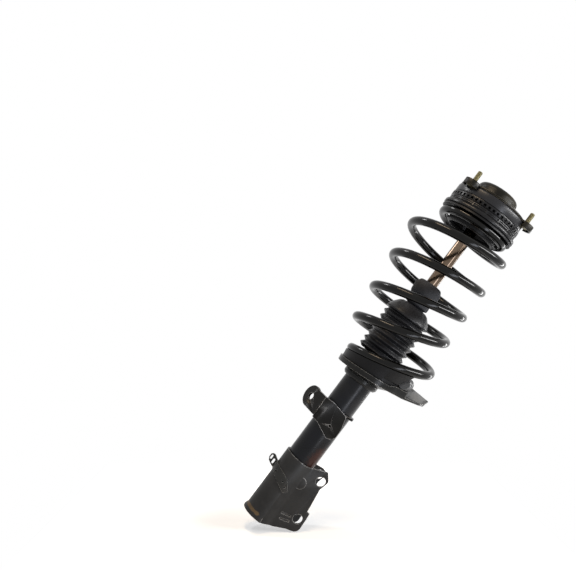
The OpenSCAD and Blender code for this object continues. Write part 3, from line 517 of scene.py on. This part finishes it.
def tree_node(tree, kind, links=None, **settings):
    """Adds a node, joins or sets its inputs, and gives its first output."""
    node = tree.nodes.new(kind)
    for key, value in settings.items():
        setattr(node, key, value)
    for name, value in (links or {}).items():
        if isinstance(value, bpy.types.NodeSocket):
            tree.links.new(value, node.inputs[name])
        else:
            node.inputs[name].default_value = value
    return node.outputs[0]


def finish_tree(tree, result, geometry, material):
    """Ends a tree in real meshes with the material set."""
    real = tree_node(tree, "GeometryNodeRealizeInstances", {"Geometry": geometry})
    dressed = tree_node(tree, "GeometryNodeSetMaterial", {"Geometry": real, "Material": material})
    tree.links.new(dressed, result["Geometry"])


def bar_tree():
    """A round bar along the edges of a mesh path, with closed ends."""
    tree, given, result = geometry_tree(
        "Round bar", [("Radius", "Float"), ("Sides", "Int"), ("Material", "Material")])
    path = tree_node(tree, "GeometryNodeMeshToCurve", {"Mesh": given["Geometry"]})
    section = tree_node(tree, "GeometryNodeCurvePrimitiveCircle",
                        {"Resolution": given["Sides"], "Radius": given["Radius"]})
    bar = tree_node(tree, "GeometryNodeCurveToMesh",
                    {"Curve": path, "Profile Curve": section, "Fill Caps": True})
    finish_tree(tree, result, bar, given["Material"])
    return tree


def circle_tree():
    """Copies of a piece at even steps round the Z axis."""
    tree, given, result = geometry_tree(
        "Round a circle", [("Count", "Int"), ("First angle", "Float"), ("Material", "Material")])
    spots = tree_node(tree, "GeometryNodePoints", {"Count": given["Count"]})
    step = tree_node(tree, "ShaderNodeMath", {0: 2 * math.pi, 1: given["Count"]}, operation="DIVIDE")
    turned = tree_node(tree, "ShaderNodeMath", {0: tree_node(tree, "GeometryNodeInputIndex"), 1: step},
                       operation="MULTIPLY")
    angle = tree_node(tree, "ShaderNodeMath", {0: turned, 1: given["First angle"]}, operation="ADD")
    turn = tree_node(tree, "ShaderNodeCombineXYZ", {"Z": angle})
    copies = tree_node(tree, "GeometryNodeInstanceOnPoints",
                       {"Points": spots, "Instance": given["Geometry"], "Rotation": turn})
    finish_tree(tree, result, copies, given["Material"])
    return tree


ROUND_BAR = bar_tree()
ROUND_A_CIRCLE = circle_tree()


def run_tree(obj, tree, **values):
    """Runs a tree on an object and keeps what it makes as the object's mesh."""
    modifier = obj.modifiers.new(tree.name, "NODES")
    modifier.node_group = tree
    sockets = {i.name: i.identifier for i in tree.interface.items_tree if i.in_out == "INPUT"}
    for name, value in values.items():
        modifier[sockets[name.replace("_", " ")]] = value
    bake_modifiers(obj)


def path_object(name, points):
    """A chain of edges through points given in metres."""
    mesh = bpy.data.meshes.new(name)
    mesh.from_pydata([tuple(p) for p in points], [(i, i + 1) for i in range(len(points) - 1)], [])
    return add_object(name, mesh)


# ------------------------------------------------------------------ coil spring
WIRE_R = 7.25
WIRE_SIDES = 28
STEPS_PER_TURN = 96
COIL_LOW_R = 51.0
COIL_MID_R = 80.0
COIL_TOP_R = 54.0
SEAT_SHIFT = 8.0
BOW_SHIFT = 20.0
COIL_TURNS = 6.3
COIL_END_ANGLE = math.radians(-41)
EASE = 0.07
SEAT_HEIGHT = 309.0
SEAT_TILT = math.radians(5)
PAD_T = 3.0
HOUSING_FOOT = -41.2
LOW_COIL_Z = up(SEAT_HEIGHT) + PAD_T + RUN_GAP + WIRE_R
TOP_COIL_Z = HOUSING_FOOT - PAD_T - WIRE_R
RAMP_IN = (0.4, 0.8)
RAMP_OUT = (5.15, 5.85)


def look_up(t, table):
    """The value at t on straight lines between the table's points."""
    if t <= table[0][0]:
        return table[0][1]
    for (t0, v0), (t1, v1) in zip(table, table[1:]):
        if t <= t1:
            return v0 + (v1 - v0) * (t - t0) / (t1 - t0)
    return table[-1][1]


def eased(t, table):
    """look_up with its corners rounded over a short stretch of wire."""
    return sum(look_up(t + EASE * k / 4, table) for k in range(-4, 5)) / 9


def ramp_area(t, start, end):
    """The integral up to t of a slope that rises from 0 at start to 1 at end."""
    if t <= start:
        return 0.0
    if t >= end:
        return (t - start) - (end - start) / 2
    return (t - start) ** 2 / (2 * (end - start))


def wound(t):
    """Turns that have climbed at full pitch, up to a place along the wire."""
    return ramp_area(t, *RAMP_IN) - ramp_area(t, *RAMP_OUT)


# Each table runs over the turns of the wire, from its lower end.
COIL_RADIUS = [
    (0, COIL_LOW_R + 11), (0.1, COIL_LOW_R + 5), (0.25, COIL_LOW_R), (0.5, COIL_LOW_R), (1, COIL_MID_R - 14),
    (1.6, COIL_MID_R - 6), (2.1, COIL_MID_R - 8), (2.6, COIL_MID_R - 4), (3.1, COIL_MID_R - 6),
    (3.6, COIL_MID_R - 3), (4.1, COIL_MID_R - 2), (4.6, COIL_MID_R), (5.1, COIL_MID_R - 4),
    (5.6, COIL_TOP_R + 1), (5.85, COIL_TOP_R), (7, COIL_TOP_R)]
COIL_SHIFT = [
    (0, SEAT_SHIFT), (0.5, SEAT_SHIFT), (1.1, BOW_SHIFT), (1.6, BOW_SHIFT / 4), (3.1, -2),
    (4.1, -6), (4.8, -7), (5.6, 0), (7, 0)]
SLOPE = math.tan(SEAT_TILT)
COIL_SLOPE = [
    (0, SLOPE), (0.6, SLOPE), (1.2, 2 * SLOPE), (1.6, 1.7 * SLOPE), (2.1, 2.2 * SLOPE),
    (2.6, 1.4 * SLOPE), (3.1, SLOPE), (4, 0), (7, 0)]
COIL_PITCH = (TOP_COIL_Z - LOW_COIL_Z) / wound(COIL_TURNS)


def sink_with_coil(piece):
    """Gives a rubber piece under the first coil its own copy of its mesh."""
    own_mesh(piece)


def coil_point(t):
    """The wire's centre after t turns from its lower end, in metres."""
    angle = COIL_END_ANGLE + 2 * math.pi * t
    radius = eased(t, COIL_RADIUS)
    x = eased(t, COIL_SHIFT) + radius * math.cos(angle)
    y = radius * math.sin(angle)
    return Vector((x, y, LOW_COIL_Z + COIL_PITCH * wound(t) + eased(t, COIL_SLOPE) * x)) * MM


def make_coil_spring():
    """The wire along its tables, with broken edges at both cut ends."""
    steps = round(COIL_TURNS * STEPS_PER_TURN)
    spring = path_object("coil_spring_wire", [coil_point(COIL_TURNS * i / steps) for i in range(steps + 1)])
    run_tree(spring, ROUND_BAR, Radius=WIRE_R * MM, Sides=WIRE_SIDES, Material=FINISH["spring_paint"])
    bevel(spring, 1.2, segments=3, angle=60)
    smooth_by_angle(spring.data, 50)
    put_on(spring, "upper_seat", "spring_paint", "coil_spring")
    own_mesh(spring)


def make_end_sleeve():
    """The ribbed rubber sleeve round the wire's cut end, on the lower seat."""
    along = (coil_point(0.02) - coil_point(0)).normalized()
    rib, groove, bore = WIRE_R + 3.2, WIRE_R + 1.6, WIRE_R + 0.3
    outline = [
        (bore, 16), (bore, -2), (0.5, -2), (0.5, -5), (rib - 1, -5), (rib, -4), (rib, -1), (groove, 0.5),
        (groove, 2.5), (rib, 4), (rib, 6), (groove, 7.5), (groove, 9.5), (rib, 11), (rib - 0.5, 15),
        (rib - 1.5, 16)]
    sleeve = lathe("wire_end_sleeve", outline, 64)
    turned = along.to_track_quat("Z", "Y").to_matrix().to_4x4()
    sleeve.data.transform(Matrix.Translation(coil_point(0)) @ turned)
    smooth_by_angle(sleeve.data, 40)
    put_on(sleeve, "strut_body", "black_rubber", material=FINISH["sleeve_rubber"])
    sink_with_coil(sleeve)


# ------------------------------------------------------------------ boot and bump stop
TUBE_FOOT = 4
TUBE_LEN = 404
CAP_WALL = 2
CAP_TOP = up(TUBE_FOOT + TUBE_LEN + CAP_WALL)
BUMP_BASE = CAP_TOP + RUN_GAP
BUMP_LEN = 70.0
BUMP_R = 24.5
NECK_H = 22.0
NECK_R = BUMP_R - 9
BOOT_R = 39.5
BOOT_TOP = BUMP_BASE + NECK_H
BOOT_FOOT = up(SEAT_HEIGHT) + 22
BELL_H = 20.0
BOOT_WALL = 1.8
FOLD_COUNT = 7
FOLD_DEPTH = 6.0


def make_bump_stop():
    """Foam stop: a foot, the neck that holds the boot, one waist and a round head."""
    bore, base, top = ROD_R + RUN_GAP, BUMP_BASE, BUMP_BASE + BUMP_LEN
    neck = base + NECK_H
    outline = rounded([
        (bore, base, 0.6), (BUMP_R - 7, base, 1.5), (BUMP_R - 6, neck - 12, 3), (NECK_R, neck - 6, 1),
        (NECK_R, neck + 2, 1), (BUMP_R - 7.5, neck + 3.5, 1), (BUMP_R - 3.4, neck + 5, 3.5),
        (BUMP_R - 3.2, neck + 11, 3), (BUMP_R - 4.5, neck + 17, 3), (BUMP_R - 1, neck + 25, 6),
        (BUMP_R + 0.2, top - 9, 9), (BUMP_R - 5.5, top, 5), (bore + 0.1, top, 1.5)], steps=7)
    stop = lathe("bump_stop_foam", outline, 96)
    smooth_by_angle(stop.data, 60)
    put_on(stop, "bump_sleeve", "foam_grey", "bump_stop")


def make_dust_boot():
    """Bellows of thin rubber: a shoulder round the stop's neck, a bell and seven folds."""
    top, rim = BOOT_TOP, BOOT_R
    root = rim - FOLD_DEPTH
    rim_z = top - BELL_H
    folds_z = rim_z - 4
    fold = (folds_z - BOOT_FOOT) / FOLD_COUNT
    outer = [
        (NECK_R + 0.1, top + 1.5, 0), (NECK_R + 7, top + 1.5, 2), (rim - 12.5, top - 1, 3),
        (rim - 8, top - 6, 4), (rim - 4, top - 11, 4), (rim - 1, top - 16, 3),
        (rim + 0.5, rim_z + 1, 1), (rim + 0.5, rim_z - 1, 0.6)]
    for i in range(FOLD_COUNT):
        outer += [(root, folds_z - fold * i, 1.2), (rim, folds_z - fold * (i + 0.5), 1.6)]
    outer += [(root, BOOT_FOOT, 0)]
    skin = rounded(outer)
    inside = [(max(r - BOOT_WALL, NECK_R), z - (BOOT_WALL if z > rim_z + 2 else 0.0))
              for r, z in reversed(skin)]
    boot = lathe("dust_boot_rubber", skin + inside, 128)
    smooth_by_angle(boot.data, 60)
    put_on(boot, "bump_sleeve", "boot_rubber", "dust_boot")


# ------------------------------------------------------------------ studs
def threaded(name, radius, pitch, foot, top, depth):
    """A screw thread from foot to top, in millimetres, with a tapered tip."""
    sides, rows_per_pitch, chamfer = 36, 6, 1.2
    bm = bmesh.new()
    core = radius - depth
    tip = core - depth * 0.6
    count = int((top - foot) / pitch * rows_per_pitch)
    rings = []
    for k in range(count + 1):
        z = foot + (top - foot) * k / count
        ring = []
        for i in range(sides):
            a = 2 * math.pi * i / sides
            phase = (z / pitch - i / sides) % 1.0
            crest = 1 - abs(2 * phase - 1)
            limit = min(1.0, (top - z) / chamfer)
            r = min(core + depth * min(1.0, crest * 1.35), tip + (radius - tip) * limit)
            ring.append(bm.verts.new((r * MM * math.cos(a), r * MM * math.sin(a), z * MM)))
        rings.append(ring)
    for low, high in zip(rings, rings[1:]):
        for i in range(sides):
            j = (i + 1) % sides
            bm.faces.new((low[i], low[j], high[j], high[i]))
    bm.faces.new(rings[-1])
    bm.faces.new(list(reversed(rings[0])))
    return from_bmesh(name, bm)


def join_objects(name, pieces):
    """Several meshes as one object."""
    bm = bmesh.new()
    for piece in pieces:
        bm.from_mesh(piece.data)
        bpy.data.objects.remove(piece)
    return from_bmesh(name, bm)


def prism(name, sides, radius, foot, top):
    """An upright bar with flat sides, in millimetres, such as a bolt's head."""
    bm = bmesh.new()
    low, high = [], []
    for i in range(sides):
        a = 2 * math.pi * i / sides
        low.append(bm.verts.new((radius * MM * math.cos(a), radius * MM * math.sin(a), foot * MM)))
        high.append(bm.verts.new((radius * MM * math.cos(a), radius * MM * math.sin(a), top * MM)))
    for i in range(sides):
        j = (i + 1) % sides
        bm.faces.new((low[i], low[j], high[j], high[i]))
    bm.faces.new(high)
    bm.faces.new(list(reversed(low)))
    return from_bmesh(name, bm)


STUD_R = 4.0
STUD_COUNT = 3
THREAD_PITCH = 1.25
THREAD_DEPTH = 0.55
STUD_REACH = 19.0
STUD_CIRCLE_R = 64.0
STUD_ANGLE = -25.0
PLATE_T = 3.0
HEAD_H = 5.5


def make_tower_studs():
    """Threaded studs with six-sided heads under the plate, evenly round the dome."""
    shank = threaded("stud", STUD_R, THREAD_PITCH, -PLATE_T, STUD_REACH, THREAD_DEPTH)
    head = prism("head", 6, 2 * STUD_R, -PLATE_T - HEAD_H, -PLATE_T)
    bevel(head, 0.7)
    studs = join_objects("tower_stud_set", [shank, head])
    studs.data.transform(Matrix.Translation((STUD_CIRCLE_R * MM, 0, 0)))
    run_tree(studs, ROUND_A_CIRCLE, Count=STUD_COUNT, First_angle=math.radians(STUD_ANGLE),
             Material=FINISH["zinc_steel"])
    smooth_by_angle(studs.data, 40)
    put_on(studs, "top_mount", "zinc_steel", "tower_studs")


# ------------------------------------------------------------------ pieces
make_coil_spring()
make_end_sleeve()
make_bump_stop()
make_dust_boot()
make_tower_studs()

EDGES = {  # node: (slot, edge radius in millimetres)
    "mount_plate": ("mount_steel", 0.8),
    "mount_retainer": ("mount_steel", 0.5),
    "mount_rubber": ("black_rubber", 0.5),
    "rebound_washer": ("zinc_steel", 0.3),
    "rod_nut": ("zinc_steel", 0.4),
    "bump_cup": ("mount_steel", 0.5),
    "bearing_cover": ("cover_plastic", 0.4),
    "upper_spring_seat": ("seat_plastic", 0.25),
    "upper_spring_pad": ("black_rubber", 0.5),
    "strut_tube": ("tube_paint", 0.3),
    "striker_cap": ("zinc_steel", 0.5),
    "seat_collar": ("seat_paint", 0.6),
    "lower_spring_seat": ("seat_paint", 0.5),
    "lower_spring_pad": ("black_rubber", 0.5),
    "link_bracket": ("bracket_paint", 0.6),
    "knuckle_bracket": ("bracket_paint", 0.6),
    "bracket_brace": ("bracket_paint", 0.5),
    "hose_bracket": ("hose_bracket_steel", 0.35),
    "piston_rod": ("rod_chrome", 0.4),
}
OWN_FINISH = {"link_bracket": "link_paint"}
FINISHED = {node: finish_node(node, slot, edge, finish=OWN_FINISH.get(node))
            for node, (slot, edge) in EDGES.items()}
sink_with_coil(FINISHED["lower_spring_pad"])

INNER = {  # node: slot, with its edges as they are
    "mount_core": "inner_steel", "bearing_upper_race": "bearing_steel", "bearing_lower_race": "bearing_steel",
    "bearing_cage": "cage_nylon", "bearing_balls": "bearing_steel", "piston": "sintered_iron",
    "piston_ring": "piston_band", "valve_discs": "inner_steel", "piston_nut": "inner_steel",
    "rebound_stop": "black_rubber", "tube_base": "tube_paint", "rod_guide": "sintered_iron",
    "guide_bushing": "bushing_bronze", "rod_seal": "black_rubber", "pressure_tube": "inner_steel",
    "foot_valve": "sintered_iron",
}
for node, slot in INNER.items():
    finish_node(node, slot, 0)


# ------------------------------------------------------------------ floor, world, lights
FLOOR_LEFT, FLOOR_RIGHT, FLOOR_FRONT, FLOOR_BACK = 0.42, 0.42, 0.30, 0.45
FLOOR_DROP = 0.002
SHADOW_NEAR, SHADOW_FAR = 0.14, 0.34
FLOOR_GLOW = 0.47  # closer than SHADOW_NEAR, where the shadow shows; it rises to 1 at SHADOW_FAR
WORLD_FILL = 0.15  # what the world gives as light; it is 1 where it is seen


def background_ray(s):
    """1 for camera, glossy and transmission rays, which see the background as it is, else 0."""
    seen = s.add("ShaderNodeLightPath").outputs
    return s.math("MAXIMUM", s.math("MAXIMUM", seen["Is Camera Ray"], seen["Is Glossy Ray"]),
                  seen["Is Transmission Ray"])


def add_floor():
    """A pale floor across the camera's upright, under the strut's lowest corner, clear from below."""
    verts = frame["nodes"]["knuckle_bracket"].data.vertices
    foot = min((v.co for v in verts), key=lambda co: co.dot(PICTURE_UP))
    centre = Vector(foot) - PICTURE_UP * FLOOR_DROP
    corners = [centre + PICTURE_RIGHT * a + PICTURE_BACK * b
               for a, b in ((-FLOOR_LEFT, FLOOR_FRONT), (FLOOR_RIGHT, FLOOR_FRONT),
                            (FLOOR_RIGHT, -FLOOR_BACK), (-FLOOR_LEFT, -FLOOR_BACK))]
    mesh = bpy.data.meshes.new("floor")
    mesh.from_pydata([tuple(c) for c in corners], [], [(0, 1, 2, 3)])
    floor = add_object("floor", mesh)
    material, s, surface = new_material("pale floor")
    gap = s.add("ShaderNodeVectorMath", operation="DISTANCE")
    s.put(gap, 0, s.place())
    s.put(gap, 1, tuple(centre))
    surface.inputs["Base Color"].default_value = rgb(0.92, 0.92, 0.92)
    surface.inputs["Roughness"].default_value = 0.9
    surface.inputs["Specular IOR Level"].default_value = 0.0
    surface.inputs["Emission Color"].default_value = rgb(1, 1, 1)
    glow = s.spread(gap.outputs["Value"], SHADOW_NEAR, SHADOW_FAR, FLOOR_GLOW, 1.0)
    s.put(surface, "Emission Strength", s.math("MULTIPLY", glow, background_ray(s)))
    clear = s.add("ShaderNodeBsdfTransparent")
    sides = s.add("ShaderNodeMixShader")
    s.join(s.add("ShaderNodeNewGeometry").outputs["Backfacing"], sides.inputs[0])
    s.join(surface.outputs[0], sides.inputs[1])
    s.join(clear.outputs[0], sides.inputs[2])
    s.join(sides.outputs[0], s.nodes["Material Output"].inputs[0])
    floor.data.materials.append(material)


FRONT = Vector((PICTURE_BACK.x, PICTURE_BACK.y, 0)).normalized()
SIDE = Vector((0, 0, 1)).cross(FRONT)


def around_strut(turn, rise):
    """Direction from the strut's axis: turn in degrees from the front to the right, rise above level."""
    turn, rise = math.radians(turn), math.radians(rise)
    level = FRONT * math.cos(turn) + SIDE * math.sin(turn)
    return level * math.cos(rise) + Vector((0, 0, math.sin(rise)))


def add_world():
    """White to the camera, in gloss and through glass, and a plain even fill for everything else."""
    world = bpy.data.worlds.new("studio")
    bpy.context.scene.world = world
    world.use_nodes = True
    s = Shader(world.node_tree)
    glow = s.nodes["Background"]
    glow.inputs["Color"].default_value = rgb(1, 1, 1)
    s.put(glow, "Strength", s.spread(background_ray(s), 0.0, 1.0, WORLD_FILL, 1.0))


def add_light(name, turn, rise, distance, size, glow, colour=(1, 1, 1), aim=(0, 0, -0.32)):
    """A soft box round the strut, turned to aim. Glow is its brightness, where 1 is paper white."""
    data = bpy.data.lights.new(name, "AREA")
    data.shape = "RECTANGLE"
    data.size, data.size_y = size
    data.energy = glow * math.pi * size[0] * size[1]
    data.color = colour
    lamp = bpy.data.objects.new(name, data)
    bpy.context.scene.collection.objects.link(lamp)
    away = around_strut(turn, rise)
    look = away.to_track_quat("Z", "Y").to_matrix()
    lamp.matrix_world = Matrix.Translation(Vector(aim) + away * distance) @ look.to_4x4()


bpy.context.scene.view_settings.view_transform = "Standard"
add_floor()
add_world()
add_light("white strip", 58, 38, 1.3, (0.95, 0.20), 31)
add_light("warm strip", -60, 40, 1.3, (0.65, 0.15), 25, (1.0, 0.78, 0.54))
add_light("front box", 26, -2, 1.3, (0.24, 1.3), 8.5, (0.86, 0.90, 1.0))
add_light("left box", -104, 10, 1.2, (0.20, 0.25), 20, aim=(0, 0, 0.0))
add_light("right edge", 124, 12, 1.2, (0.07, 0.7), 16)
